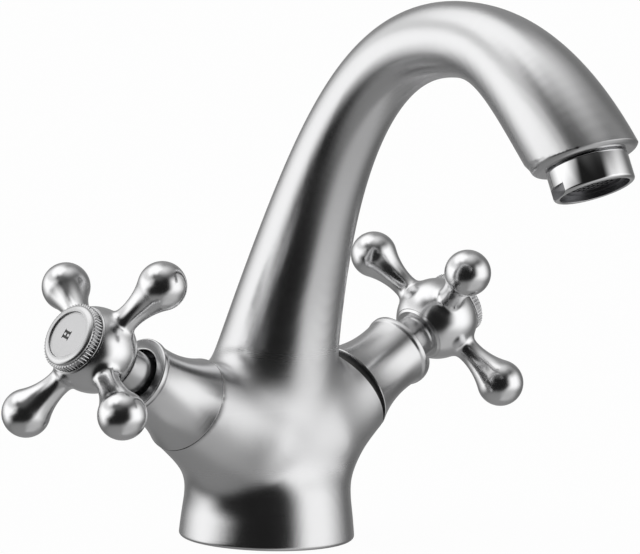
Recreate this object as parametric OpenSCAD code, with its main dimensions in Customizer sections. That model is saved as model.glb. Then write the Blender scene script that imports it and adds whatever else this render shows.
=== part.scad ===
// Two-handle basin tap with a swan-neck spout, quarter-turn valves and cross handles.
// Millimetres. The origin is the centre of the foot on the basin, +Z is up and the spout reaches towards -Y.
// The hot valve is on the -X side and the cold valve on the +X side, each tilted up along its own axis.
// Inside a valve, distances are measured along its axis from the point where both axes meet.

/* [Foot] */
// Diameter of the foot that stands on the basin
foot_d = 50; // [46:0.5:56]
// Radius of the foot's lower edge
foot_round = 1.2; // [0.6:0.1:2]
// Diameter of the waist above the foot
waist_d = 46.8; // [43:0.2:48]
// Height of the waist
waist_z = 16; // [14:0.5:18]
// Height of the rounded shoulder above the waist, inside the two bosses and the neck
shoulder_h = 25.5; // [22:0.5:28]
// Distance of the gasket's outer edge from the foot's edge
gasket_inset = 2.4; // [1.8:0.1:3.5]
// Width of the base gasket
gasket_w = 3; // [2:0.1:4]
// Depth of the gasket's groove
gasket_h = 2.5; // [1.5:0.1:4]
// Diameter of the fixing stud's thread
stud_d = 8; // [6:1:10]
// Depth of the fixing stud's hole
stud_depth = 14; // [10:0.5:16]
// Distance of the fixing stud from the centre, towards the back
stud_y = 12; // [11.5:0.5:13]
// Diameter of the supply threads
inlet_d = 10; // [8:1:11]
// Depth of the supply threads
inlet_depth = 12; // [8:0.5:14]
// Distance between the two supply inlets
inlet_spacing = 19; // [17:0.5:20]

/* [Valve seats] */
// Height at which the two valve axes meet
valve_z = 23.9; // [23:0.1:26]
// Tilt of the valve axes above level, in degrees
valve_tilt = 27.3; // [24:0.1:32]
// Distance of the boss's end face
boss_dist = 36.1; // [35:0.1:39]
// Diameter of the boss at its end face
boss_d = 27.8; // [27:0.1:29.4]
// Radius of the curve that runs from the boss into the body
boss_flare_r = 44; // [34:1:56]
// Angle through which that curve turns, in degrees
boss_flare_turn = 34; // [30:1:36]
// Distance of the valve seat
seat_dist = 14; // [13:0.1:15]
// Diameter of the hole in the valve seat
seat_hole_d = 8; // [7:0.1:8.6]
// Diameter of the waterways in the casting
waterway_d = 7; // [5:0.2:8]
// Diameter of the headwork's thread
head_thread_d = 20.95; // [20.5:0.05:21.2]

/* [Spout] */
// Height where the neck begins
neck_z = 49.5; // [48:0.5:52]
// Distance of the neck's centre line in front of the foot's centre there
neck_y = 1.8; // [0:0.1:3]
// Lean of the neck towards the front where it begins, in degrees
neck_lean = 14.5; // [10:0.5:18]
// Diameter of the neck where it begins
neck_d = 36; // [34:0.2:38]
// Diameter that the neck's taper heads for
neck_taper_d = 18.2; // [16:0.2:22]
// Length of the pull that keeps the neck straight
neck_pull = 61; // [50:1:70]
// Height of the crown's centre line
crown_z = 146; // [138:0.5:156]
// Distance of the crown in front of the foot's centre
crown_reach = 71.3; // [64:0.5:78]
// Diameter of the spout at the crown
crown_d = 20.7; // [19:0.1:23]
// Length of the crown's pull towards the neck
crown_pull_back = 37.3; // [30:0.5:44]
// Length of the crown's pull towards the tip
crown_pull_front = 16.2; // [12:0.5:22]
// Height of the outlet's centre above the basin
outlet_z = 109.4; // [104:0.5:116]
// Distance of the outlet's centre in front of the foot's centre
spout_reach = 121.6; // [116:0.2:126]
// Forward lean of the water's path at the outlet, in degrees
outlet_tilt = 25.2; // [20:0.2:30]
// Direction of the spout at its tip, in degrees from straight up
tip_turn = 139.8; // [134:0.5:146]
// Length of the tip's pull
tip_pull = 31; // [24:0.5:36]
// Diameter of the spout at its tip
tip_d = 28.9; // [27:0.1:31]
// Wall of the hollow spout
spout_wall = 3.4; // [2.6:0.1:4.5]

/* [Aerator] */
// Diameter of the aerator's ring
aerator_d = 21.6; // [20.6:0.1:22.4]
// Length of the ring that shows below the tip
aerator_show = 9.2; // [8:0.1:11]
// Diameter of the aerator's thread
aerator_thread_d = 17.9; // [17.6:0.1:18.4]
// Length of the aerator's thread
aerator_thread_h = 6; // [4:0.5:7]
// Diameter of the mesh and the straightener
insert_d = 16.1; // [15.4:0.1:16.2]
// Width of the ring across its two spanner flats
flats_w = 20.8; // [20.2:0.1:21.2]
// Height of the spanner flats
flats_h = 2.4; // [1.5:0.1:3]
// Turn of the spanner flats about the outlet, in degrees
flats_turn = 22; // [0:1:45]
// Depth of the mesh above the ring's rim
mesh_depth = 2; // [1.5:0.1:3]
// Thickness of the mesh
mesh_h = 0.5; // [0.4:0.1:0.8]
// Spacing of the mesh's wires
mesh_pitch = 1.8; // [1.5:0.1:3]
// Thickness of the mesh's wires
mesh_wire = 0.5; // [0.3:0.05:0.7]
// Thickness of the aerator's washer
aerator_washer_h = 1.5; // [1:0.1:2]

/* [Shroud] */
// Distance of the shroud's mouth
mouth_dist = 57.8; // [57:0.1:60]
// Outer diameter of the shroud's mouth
mouth_d = 21.8; // [20.8:0.1:23.4]
// Diameter of the hole in the shroud's mouth
mouth_hole_d = 15.2; // [14.8:0.1:16.4]
// Length of the rounded lip at the mouth
lip_h = 2; // [1.4:0.1:2.6]
// Depth of the waist behind the lip
lip_waist = 0.6; // [0.2:0.1:0.9]
// Radius of the shroud's hollow outer curve
shroud_curve_r = 36; // [30:1:70]
// Clearance around the headwork inside the shroud
shroud_gap = 0.15; // [0.1:0.05:0.3]

/* [Headwork] */
// Height of the seat seal
seal_h = 2.4; // [1.6:0.1:3]
// Thickness of each ceramic disc
disc_h = 3; // [2.4:0.1:3.4]
// Diameter of each ceramic disc
disc_d = 14; // [13.4:0.1:14.2]
// Wall of the headwork's lower shell
shell_wall = 1.8; // [1.4:0.1:1.9]
// Height of the spindle's foot
spindle_foot_h = 2.4; // [2:0.1:3]
// Thickness of the thrust washer
thrust_h = 0.8; // [0.6:0.1:1.2]
// Width across the flats of the hexagon
hex_w = 19; // [17:0.5:19]
// Height of the hexagon with its flange
hex_h = 5; // [4:0.5:5]
// Height of the flange under the hexagon
flange_h = 1.6; // [1:0.1:2]
// Diameter of the flange under the hexagon
flange_d = 23.8; // [23.2:0.1:24]
// Diameter of the thread that carries the shroud
collar_d = 18.4; // [17.6:0.1:18.8]
// Length of the thread that carries the shroud
collar_h = 8.5; // [7:0.5:9]
// Length of the headwork's nose above that thread
nose_h = 2; // [1.5:0.1:2.4]
// Thickness of the spindle clip
clip_h = 0.9; // [0.7:0.1:1.2]
// Diameter of the spindle in its guide
spindle_d = 10; // [9:0.1:10.4]
// Diameter of the spindle's spline
spline_d = 8; // [7.6:0.1:8.4]
// Number of teeth on the spline
spline_teeth = 20; // [12:1:24]
// Depth of the spline's teeth
spline_depth = 0.5; // [0.3:0.05:0.6]
// Length of the spline inside the hub
spline_l = 6; // [5:0.5:6.5]

/* [Handles] */
// Distance of the hub's centre
hub_dist = 75; // [74.4:0.1:77]
// Diameter of the hub
hub_d = 24; // [23.6:0.1:26]
// Length of the hub behind its centre
hub_back = 9; // [8.6:0.1:9.6]
// Length of the hub in front of its centre
hub_front = 7.1; // [6.6:0.1:7.6]
// Number of arms
arm_count = 4; // [3:1:5]
// Distance from the valve axis to the centre of an arm's ball
ball_reach = 26.8; // [25:0.1:30]
// Diameter of an arm's ball
ball_d = 13.6; // [12.4:0.1:14.6]
// Diameter of an arm at its neck
arm_neck_d = 7; // [6:0.1:8]
// Radius of the hollow curve of an arm
arm_curve_r = 19; // [15:0.5:24]
// Outer diameter of the polished sleeve
sleeve_d = 12.4; // [12:0.1:12.8]
// Diameter of the sleeve's hole
sleeve_hole_d = 9.6; // [9.4:0.1:10.2]
// Diameter of the handle screw
screw_d = 4; // [3:0.5:4.5]
// Diameter of the handle screw's head
screw_head_d = 7; // [6:0.2:8]
// Height of the handle screw's head
screw_head_h = 2.6; // [2:0.1:3]
// Length of the handle screw below its head
screw_l = 11; // [8:0.5:14]
// Thickness of the hub's web that the screw clamps
web_h = 2; // [1.6:0.1:2.2]
// Turn of the hot handle's first arm from upright towards the front, in degrees
hot_turn = 38.3; // [0:0.1:90]
// Turn of the cold handle's first arm from upright towards the front, in degrees
cold_turn = 48.1; // [0:0.1:90]

/* [Index] */
// Outer diameter of the knurled index ring
ring_d = 18.3; // [17.4:0.1:19]
// Height of the index ring above the hub
ring_h = 3.8; // [3.2:0.1:4.4]
// Number of knurls on the index ring
knurls = 60; // [40:2:80]
// Height of the knurled band
knurl_h = 1.9; // [1.2:0.1:2.4]
// Depth of the knurls
knurl_depth = 0.3; // [0.2:0.05:0.4]
// Diameter of the index plate
plate_d = 14.2; // [13.4:0.1:14.4]
// Thickness of the index plate
plate_h = 0.8; // [0.6:0.1:1.2]
// Depth of the index plate below the ring's rim
plate_depth = 0.5; // [0.3:0.1:0.8]
// Diameter of the ring's stem in the hub
stem_d = 12; // [11:0.1:12.8]
// Length of the ring's stem in the hub
stem_h = 3.4; // [2.5:0.1:3.8]
// Height of the letter on the index plate
letter_h = 3.2; // [2.4:0.1:6]
// Width of the letter's strokes
letter_w = 0.6; // [0.4:0.05:1]
// Depth of the letter in the plate
letter_depth = 0.2; // [0.1:0.05:0.4]
// Turn of the letter on the hot plate, in degrees
hot_letter_turn = -5; // [-180:5:180]
// Turn of the letter on the cold plate, in degrees
cold_letter_turn = 175; // [-180:5:180]

/* [Fits] */
// Clearance around a shaft that turns
run_gap = 0.05; // [0.03:0.01:0.08]
// Clearance around a fixed thread or a seated piece
fit_gap = 0.05; // [0.03:0.01:0.1]
// Clearance between faces that turn past each other
face_gap = 0.02; // [0.01:0.01:0.05]

/* [Hidden] */
$fn = 96;
// Length by which a cut runs past the face that it opens
over = 1;
// Sides and rings of the swept spout and of its water channel
spout_sides = 40;
channel_sides = 16;
root_steps = 6;
neck_steps = 20;
tip_steps = 12;
// Steps of a curved outline
arc_steps = 10;
lip_steps = 6;

inlet_x = inlet_spacing / 2;
head_bore_r = head_thread_d / 2 + fit_gap;
// The counterbore at the boss's end holds the headwork's rubber ring
oring_wire_d = 1.86;
oring_seat_h = 2;
oring_seat_r = head_bore_r + oring_wire_d / 2;
// Gap beside a rubber ring in its groove
ring_play = 0.04;
// Depth of the well that brings water to a valve seat
seat_well_h = 6.5;
// Edges that are only broken, and the outlet ring's step against the lip
edge_cut = 0.5;
fine_cut = 0.2;
// Distance along the valve axis where mixed water leaves the valve's chamber
mix_dist = seat_dist + 4;
mix_z = valve_z + mix_dist * sin(valve_tilt) + head_bore_r * cos(valve_tilt) - over / 2;
mix_x = mix_dist * cos(valve_tilt) - head_bore_r * sin(valve_tilt) + over;

// The spout's centre line, as points [y, z] and directions in degrees from up towards the front
function heading(a) = [-sin(a), cos(a)];
neck_start = [-neck_y, neck_z];
// The neck's root is buried in the shoulder, this far above the waist and this much wider than the neck
root_rise = 11;
root_extra = 1.6;
root_start = [0, waist_z + root_rise];
root_d = neck_d + root_extra;
root_pull = (neck_z - waist_z - root_rise) / 3;
crown = [-crown_reach, crown_z];
lip_centre = [-spout_reach, outlet_z] - aerator_show * [-sin(outlet_tilt), -cos(outlet_tilt)];
aerator_seat_h = aerator_thread_h + aerator_washer_h;
// The sweep runs past the lip's plane, which then cuts it off
tip_over = tip_d / 2 * tan(tip_turn + outlet_tilt - 180) * sign(tip_turn + outlet_tilt - 180) + 2;
tip_end = lip_centre + tip_over * heading(tip_turn);
// Fullness that the sweep keeps below the neck's beginning and just behind the lip
root_fullness = 0.1;
tip_fullness = 0.9;
// Radius lost per millimetre where the neck begins
neck_slope = (neck_d - neck_taper_d) / 2 / neck_pull;

function cubic(a, b, c, d, t) =
    (1 - t)^3 * a + 3 * (1 - t)^2 * t * b + 3 * (1 - t) * t^2 * c + t^3 * d;
function cubic_way(a, b, c, d, t) =
    (1 - t)^2 * (b - a) + 2 * (1 - t) * t * (c - b) + t^2 * (d - c);
function station(a, b, c, d, ra, rb, rc, rd, t) =
    let (way = cubic_way(a, b, c, d, t))
    [cubic(a, b, c, d, t), atan2(-way[0], way[1]), cubic(ra, rb, rc, rd, t)];

// Each station is [centre, direction, radius]
root_line = [for (i = [0 : root_steps - 1])
    station(root_start, root_start + [0, root_pull], neck_start - root_pull * heading(neck_lean), neck_start,
        root_d / 2, root_d / 2, neck_d / 2 + neck_slope * root_pull + root_fullness, neck_d / 2,
        i / root_steps)];
neck_line = [for (i = [0 : neck_steps - 1])
    station(neck_start, neck_start + neck_pull * heading(neck_lean), crown + [crown_pull_back, 0], crown,
        neck_d / 2, neck_taper_d / 2, crown_d / 2, crown_d / 2, i / neck_steps)];
tip_line = [for (i = [0 : tip_steps])
    station(crown, crown - [crown_pull_front, 0], tip_end - tip_pull * heading(tip_turn), tip_end,
        crown_d / 2, crown_d / 2, tip_d / 2 + tip_fullness, tip_d / 2, i / tip_steps)];

// Points on the arc of radius r that bows towards the axis between a and b, both [radius, distance]
function hollow_arc(a, b, r, steps) =
    let (chord = b - a, l = norm(chord), side = [chord[1], -chord[0]] / l,
         centre = (a + b) / 2 + side * sqrt(r^2 - (l / 2)^2),
         half = asin(l / 2 / r), mid = atan2(-side[1], -side[0]))
    [for (i = [0 : steps])
        let (turn = mid - half + 2 * half * i / steps)
        centre + r * [cos(turn), sin(turn)]];

// Distances along a valve's axis, from the seat outwards
seal_top = seat_dist + seal_h;
// The seal stands out of the shell by this much, and the thread begins this far below the guide
seal_proud = 0.6;
guide_lap = 1.5;
shell_start = seat_dist + seal_proud;
shell_r = disc_d / 2 + fit_gap;
shell_outer_r = shell_r + shell_wall;
moving_disc_start = seal_top + disc_h + face_gap;
foot_start = moving_disc_start + disc_h + face_gap;
thrust_start = foot_start + spindle_foot_h + face_gap;
guide_start = thrust_start + thrust_h;
thread_start = guide_start - guide_lap;
thread_end = boss_dist - oring_seat_h;
hex_end = boss_dist + hex_h;
hex_r = hex_w / 2 / cos(30);
collar_end = hex_end + collar_h;
nose_end = collar_end + nose_h;
guide_r = spindle_d / 2 + run_gap;
clip_start = nose_end + face_gap;
clip_end = clip_start + clip_h;
hub_back_dist = hub_dist - hub_back;
hub_front_dist = hub_dist + hub_front;
sleeve_start = clip_end + face_gap;
spindle_end = hub_back_dist + spline_l;
web_end = spindle_end + web_h;
ring_end = hub_front_dist + ring_h;
plate_face = ring_end - plate_depth;
nose_gap = 0.4;
nose_inset = 1.2;
nose_r = min(collar_d / 2 - nose_inset, mouth_hole_d / 2 - nose_gap);
// The spindle's rubber ring and its groove
spindle_ring_rise = 20;
spindle_ring_dist = guide_start + spindle_ring_rise;
spindle_ring_wire = 1.1;
spindle_groove_w = 1.4;
spindle_groove_r = guide_r - spindle_ring_wire - ring_play;
// The clip's groove, its width and its mouth
clip_groove_r = spline_d / 2 - spline_depth;
clip_w = 2.4;
clip_mouth = 3;
// The step above the clip that the sleeve slides over
step_h = 1.2;
step_gap = 0.2;
// The tang that turns the moving disc, and the tabs that hold the fixed one
tang_w = 3;
tang_h = 1.2;
tab_w = 2.4;
tab_r = shell_outer_r - edge_cut;
// Windows in the headwork's shell where the mixed water leaves
window_w = 6;
// Holes of the straightener in the aerator, and the distance between their rows
jet_d = 2;
jet_pitch = 2.9;
// Width of the ledges that carry the mesh, and the wall of the index ring's stem
ledge_w = 0.6;
stem_wall = 1.2;
// Width of the index ring's flat rim around the plate
rim_w = 0.25;

satin = [0.66, 0.66, 0.67];
polished = [0.82, 0.82, 0.84];
brass = [0.78, 0.62, 0.32];
rubber = [0.12, 0.12, 0.12];
ceramic = [0.93, 0.92, 0.88];

// Places a valve's parts: their +Z is the valve's axis and their +X points up and outwards
module on_hot() {
    translate([0, 0, valve_z]) rotate([0, valve_tilt - 90, 0]) children();
}
module on_cold() {
    mirror([1, 0, 0]) on_hot() children();
}
// Places the aerator's parts: z = 0 is the lip of the spout and +Z points into the spout
module at_outlet() {
    translate([0, lip_centre[0], lip_centre[1]]) rotate([-outlet_tilt, 0, 0]) children();
}
module along(from, to, r) {
    translate([0, 0, from]) cylinder(h = to - from, r = r);
}
module ring_of(from, to, outer_r, inner_r) {
    difference() {
        along(from, to, outer_r);
        along(from - over, to + over, inner_r);
    }
}
module round_ring(dist, major_r, wire_d) {
    translate([0, 0, dist]) rotate_extrude() translate([major_r, 0]) circle(d = wire_d, $fn = 32);
}

// A tube swept along stations, each [centre, direction, radius]
module swept(line, sides) {
    points = [for (s = line, j = [0 : sides - 1])
        let (a = s[1], turn = 360 * j / sides)
        [s[2] * cos(turn), s[0][0] + s[2] * sin(turn) * cos(a), s[0][1] + s[2] * sin(turn) * sin(a)]];
    rings = len(line);
    walls = [for (i = [0 : rings - 2], j = [0 : sides - 1], half = [0, 1])
        let (a = i * sides + j, b = i * sides + (j + 1) % sides)
        half == 0 ? [a, a + sides, b + sides] : [a, b + sides, b]];
    start_cap = [for (j = [0 : sides - 1]) j];
    end_cap = [for (j = [sides - 1 : -1 : 0]) (rings - 1) * sides + j];
    polyhedron(points, concat(walls, [start_cap, end_cap]));
}

module foot() {
    side_sweep = 0.35;
    side_pull = 4;
    edge = [for (i = [0 : arc_steps])
        [foot_d / 2 - foot_round + foot_round * sin(90 * i / arc_steps),
         foot_round - foot_round * cos(90 * i / arc_steps)]];
    side = [for (i = [1 : arc_steps])
        [cubic(foot_d / 2, foot_d / 2 - side_sweep, waist_d / 2 + side_sweep, waist_d / 2, i / arc_steps),
         cubic(foot_round, foot_round + side_pull, waist_z - side_pull, waist_z, i / arc_steps)]];
    shoulder = [for (i = [1 : arc_steps])
        [waist_d / 2 * cos(90 * i / arc_steps), waist_z + shoulder_h * sin(90 * i / arc_steps)]];
    rotate_extrude() polygon(concat([[0, 0]], edge, side, shoulder));
}

// The bosses run on past the point where their axes meet, so that they join inside the body
module boss() {
    past = 4;
    flare = [for (i = [0 : arc_steps])
        let (a = boss_flare_turn * i / arc_steps)
        [boss_d / 2 + boss_flare_r * (1 - cos(a)), boss_dist - boss_flare_r * sin(a)]];
    rotate_extrude() polygon(concat([[0, boss_dist]], flare, [[flare[arc_steps][0], -past], [0, -past]]));
}

module valve_chamber() {
    along(seat_dist, boss_dist + over, head_bore_r);
    along(boss_dist - oring_seat_h, boss_dist + over, oring_seat_r);
    along(seat_dist - seat_well_h, seat_dist + over, seat_hole_d / 2);
}

module tap_body() {
    color(satin) difference() {
        union() {
            foot();
            on_hot() boss();
            on_cold() boss();
            difference() {
                swept(concat(root_line, neck_line, tip_line), spout_sides);
                at_outlet() translate([-tip_d, -tip_d, -2 * tip_d]) cube(2 * tip_d);
            }
        }
        on_hot() valve_chamber();
        on_cold() valve_chamber();
        for (x = [-inlet_x, inlet_x]) translate([x, 0, 0]) {
            along(-over, inlet_depth, inlet_d / 2);
            along(inlet_depth - over, valve_z + inlet_x * tan(valve_tilt) - 2, waterway_d / 2);
        }
        translate([-mix_x, 0, mix_z]) rotate([0, 90, 0]) cylinder(h = 2 * mix_x, d = waterway_d - 1);
        translate([0, stud_y, 0]) along(-over, stud_depth, stud_d / 2);
        difference() {
            along(-over, gasket_h, foot_d / 2 - gasket_inset);
            along(-2 * over, gasket_h + over, foot_d / 2 - gasket_inset - gasket_w);
        }
        at_outlet() along(-over, aerator_seat_h, aerator_thread_d / 2 + fit_gap);
        channel();
    }
}

// The spout is hollow: its channel keeps one wall from the neck to the aerator's seat, and a narrow
// passage leads up to it from the mixing waterway
module channel() {
    low = [for (s = root_line) if (s[0][1] > mix_z - 3) [s[0], s[1], waterway_d / 2]];
    hollow = [for (s = neck_line) if (s[0][1] > neck_z + 1) [s[0], s[1], s[2] - spout_wall]];
    high = [for (s = tip_line)
        if ((s[0] - lip_centre) * [sin(outlet_tilt), cos(outlet_tilt)] > aerator_seat_h)
            [s[0], s[1], min(s[2] - spout_wall, aerator_thread_d / 2 - 2)]];
    swept(concat(low, [[neck_start, neck_lean, waterway_d / 2]], hollow, high), channel_sides);
    // The last stretch leads straight into the aerator's seat and leaves a ledge for its washer
    stretch_h = 6;
    washer_ledge = 2.5;
    at_outlet() along(aerator_seat_h - over, aerator_seat_h + stretch_h, aerator_thread_d / 2 - washer_ledge);
}

module base_gasket() {
    outer_r = foot_d / 2 - gasket_inset - fit_gap;
    color(rubber) ring_of(0, gasket_h - fit_gap, outer_r, outer_r - gasket_w + 2 * fit_gap);
}

module aerator_housing() {
    r = aerator_d / 2;
    ledge = -aerator_show + mesh_depth;
    color(polished) at_outlet() difference() {
        union() {
            rotate_extrude() polygon([[0, 0], [0, -aerator_show], [r - edge_cut, -aerator_show],
                [r, -aerator_show + edge_cut], [r, -fine_cut], [r - fine_cut, 0]]);
            along(-over, aerator_thread_h, aerator_thread_d / 2);
        }
        along(ledge, aerator_thread_h + over, insert_d / 2 + fit_gap);
        along(ledge - over, ledge + over, insert_d / 2 - ledge_w);
        along(-aerator_show - over, ledge - ledge_w, insert_d / 2 + ledge_w / 2);
        rotate([0, 0, flats_turn]) for (side = [-1, 1])
            translate([side > 0 ? flats_w / 2 : -flats_w / 2 - aerator_d, -aerator_d, -aerator_show - over])
                cube([aerator_d, 2 * aerator_d, flats_h + over]);
    }
}

module aerator_washer() {
    r = aerator_thread_d / 2;
    washer_w = 2.4;
    color(rubber) at_outlet()
        ring_of(aerator_thread_h, aerator_thread_h + aerator_washer_h - fit_gap, r, r - washer_w);
}

module aerator_insert() {
    start = -aerator_show + mesh_depth + mesh_h;
    color([0.85, 0.86, 0.86]) at_outlet() difference() {
        along(start, aerator_thread_h - 2, insert_d / 2);
        along(start - over, aerator_thread_h, jet_d / 2);
        for (row = [1, 2], k = [1 : 6 * row]) rotate(60 * k / row) translate([jet_pitch * row, 0, 0])
            along(start - over, aerator_thread_h, jet_d / 2);
    }
}

module aerator_mesh() {
    start = -aerator_show + mesh_depth;
    gap = mesh_pitch - mesh_wire;
    reach = insert_d / 2 - 2 * ledge_w;
    count = floor(reach / mesh_pitch);
    color([0.5, 0.5, 0.5]) at_outlet() difference() {
        along(start, start + mesh_h, insert_d / 2);
        for (i = [-count : count], j = [-count : count])
            if (norm([abs(i) + 0.4, abs(j) + 0.4]) * mesh_pitch < reach)
                translate([i * mesh_pitch - gap / 2, j * mesh_pitch - gap / 2, start - over])
                    cube([gap, gap, mesh_h + 2 * over]);
    }
}

module shroud() {
    waist_r = mouth_d / 2 - lip_waist;
    lip = [for (i = [1 : lip_steps])
        [waist_r + lip_waist * (1 - cos(180 * i / lip_steps)) / 2,
         mouth_dist - lip_h + (lip_h - edge_cut) * i / lip_steps]];
    curve = hollow_arc([boss_d / 2, boss_dist], [waist_r, mouth_dist - lip_h], shroud_curve_r, arc_steps);
    outline = concat(curve, lip, [[mouth_d / 2 - edge_cut, mouth_dist]]);
    color(satin) difference() {
        rotate_extrude() polygon(concat([[0, boss_dist]], outline, [[0, mouth_dist]]));
        along(boss_dist - over, boss_dist + flange_h + shroud_gap, flange_d / 2 + shroud_gap);
        along(boss_dist, hex_end + shroud_gap, hex_r + shroud_gap);
        along(boss_dist, collar_end, collar_d / 2 + fit_gap);
        along(boss_dist, mouth_dist + over, mouth_hole_d / 2);
    }
}

module cartridge_body() {
    color(brass) difference() {
        union() {
            along(shell_start, guide_start, shell_outer_r);
            along(thread_start, thread_end, head_thread_d / 2);
            along(guide_start, hex_end, oring_seat_r - oring_wire_d - ring_play);
            along(boss_dist, boss_dist + flange_h, flange_d / 2);
            along(boss_dist, hex_end, hex_r, $fn = 6);
            along(hex_end - over, collar_end, collar_d / 2);
            along(hex_end, nose_end, nose_r);
        }
        along(shell_start - over, guide_start, shell_r);
        along(shell_start, nose_end + over, guide_r);
        for (turn = [0, 180]) rotate(turn) {
            translate([0, -tab_w / 2 - fit_gap, shell_start - over])
                cube([shell_outer_r + over, tab_w + 2 * fit_gap, seal_top + disc_h + over - shell_start]);
            rotate(90) translate([0, -window_w / 2, moving_disc_start + edge_cut])
                cube([head_thread_d, window_w, thread_start - moving_disc_start - 2 * edge_cut]);
        }
    }
}

module cartridge_oring() {
    ring_r = oring_seat_r - (oring_wire_d + ring_play) / 2;
    color(rubber) round_ring(boss_dist - oring_seat_h / 2, ring_r, oring_wire_d);
}

module seat_seal() {
    color(rubber) ring_of(seat_dist, seal_top, disc_d / 2, seat_hole_d / 2 + edge_cut);
}

// The two openings of a ceramic disc lie on opposite sides
module disc_openings(from, to) {
    for (side = [-1, 1]) translate([0, side * disc_d / 4, 0]) along(from, to, disc_d / 7);
}

module fixed_disc() {
    color(ceramic) difference() {
        union() {
            along(seal_top, seal_top + disc_h, disc_d / 2);
            translate([-tab_r, -tab_w / 2, seal_top]) cube([2 * tab_r, tab_w, disc_h]);
        }
        disc_openings(seal_top - over, seal_top + disc_h + over);
    }
}

module moving_disc() {
    end = moving_disc_start + disc_h;
    color(ceramic) rotate(90) difference() {
        along(moving_disc_start, end, disc_d / 2 - run_gap);
        disc_openings(moving_disc_start - over, end + over);
        translate([-disc_d, -tang_w / 2, end - tang_h]) cube([2 * disc_d, tang_w, tang_h + over]);
    }
}

module thrust_washer() {
    color(brass) ring_of(thrust_start, guide_start - fit_gap, shell_r - fit_gap, guide_r + fit_gap);
}

module spline_bar(from, to, r) {
    translate([0, 0, from]) linear_extrude(to - from)
        polygon([for (i = [0 : 2 * spline_teeth - 1])
            let (q = i % 2 == 0 ? r : r - spline_depth, a = 180 * i / spline_teeth) q * [cos(a), sin(a)]]);
}

// The spline's teeth stand at the handle's turn, so that the handle slides onto them
module spindle(handle_turn) {
    foot_r = disc_d / 2 - step_gap;
    color(brass) difference() {
        union() {
            along(foot_start, foot_start + spindle_foot_h, foot_r);
            rotate(90) intersection() {
                translate([-foot_r, -tang_w / 2 + fit_gap, foot_start - tang_h + fit_gap])
                    cube([2 * foot_r, tang_w - 2 * fit_gap, tang_h]);
                along(moving_disc_start, foot_start + spindle_foot_h, foot_r);
            }
            along(foot_start, clip_start, spindle_d / 2);
            along(foot_start, clip_end + step_h / 3, clip_groove_r);
            along(clip_end, clip_end + step_h, sleeve_hole_d / 2 - step_gap);
            rotate(-handle_turn) spline_bar(clip_end + step_h / 2, spindle_end, spline_d / 2);
        }
        difference() {
            along(spindle_ring_dist - spindle_groove_w / 2, spindle_ring_dist + spindle_groove_w / 2,
                spindle_d);
            along(spindle_ring_dist - over, spindle_ring_dist + over, spindle_groove_r);
        }
        along(web_end - screw_l - over, spindle_end + over, screw_d / 2 + fit_gap);
        rotate(90) disc_openings(foot_start - tang_h - over, foot_start + spindle_foot_h - ledge_w);
    }
}

module spindle_oring() {
    ring_r = spindle_groove_r + (spindle_ring_wire + ring_play) / 2;
    color(rubber) round_ring(spindle_ring_dist, ring_r, spindle_ring_wire);
}

module spindle_clip() {
    color([0.6, 0.6, 0.62]) difference() {
        ring_of(clip_start, clip_end, clip_groove_r + clip_w, clip_groove_r + fit_gap);
        translate([0, -clip_mouth / 2, clip_start - over]) cube([spline_d, clip_mouth, clip_h + 2 * over]);
    }
}

module stem_sleeve() {
    color(polished) ring_of(sleeve_start, hub_back_dist, sleeve_d / 2, sleeve_hole_d / 2);
}

// An arm lies along +X from the hub's centre and ends in a ball, joined by a hollow curve
module arm() {
    ball_r = ball_d / 2;
    neck_r = arm_neck_d / 2;
    span = sqrt((ball_r + arm_curve_r)^2 - (neck_r + arm_curve_r)^2);
    neck_x = ball_reach - span;
    // Where the hollow curve touches the ball, seen from the ball's centre
    touch = acos(span / (ball_r + arm_curve_r));
    start_x = hub_d / 2 - 2;
    bend_from = asin((start_x - neck_x) / arm_curve_r);
    bend_to = 90 - touch;
    hollow = [for (i = [0 : arc_steps]) let (a = bend_from + (bend_to - bend_from) * i / arc_steps)
        [neck_r + arm_curve_r * (1 - cos(a)), neck_x + arm_curve_r * sin(a)]];
    ball = [for (i = [1 : arc_steps]) let (a = 180 - touch - (180 - touch) * i / arc_steps)
        [ball_r * sin(a), ball_reach + ball_r * cos(a)]];
    rotate([0, 90, 0]) rotate_extrude() polygon(concat([[0, start_x]], hollow, ball));
}

module handle() {
    color(polished) difference() {
        union() {
            intersection() {
                translate([0, 0, hub_dist]) sphere(d = hub_d);
                along(hub_back_dist, hub_front_dist, hub_d);
            }
            for (k = [0 : arm_count - 1]) translate([0, 0, hub_dist]) rotate(360 * k / arm_count) arm();
        }
        spline_bar(hub_back_dist - over, spindle_end + fit_gap, spline_d / 2 + fit_gap);
        along(spindle_end - over, hub_dist, screw_d / 2 + step_gap);
        along(web_end, hub_front_dist + over, stem_d / 2 + fit_gap);
    }
}

module handle_screw() {
    socket_h = 0.6 * screw_head_h;
    color([0.6, 0.6, 0.62]) difference() {
        union() {
            along(web_end, web_end + screw_head_h, screw_head_d / 2);
            along(web_end - screw_l, web_end, screw_d / 2);
        }
        along(web_end + screw_head_h - socket_h, web_end + screw_head_h + over, screw_d / 3, $fn = 6);
    }
}

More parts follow.
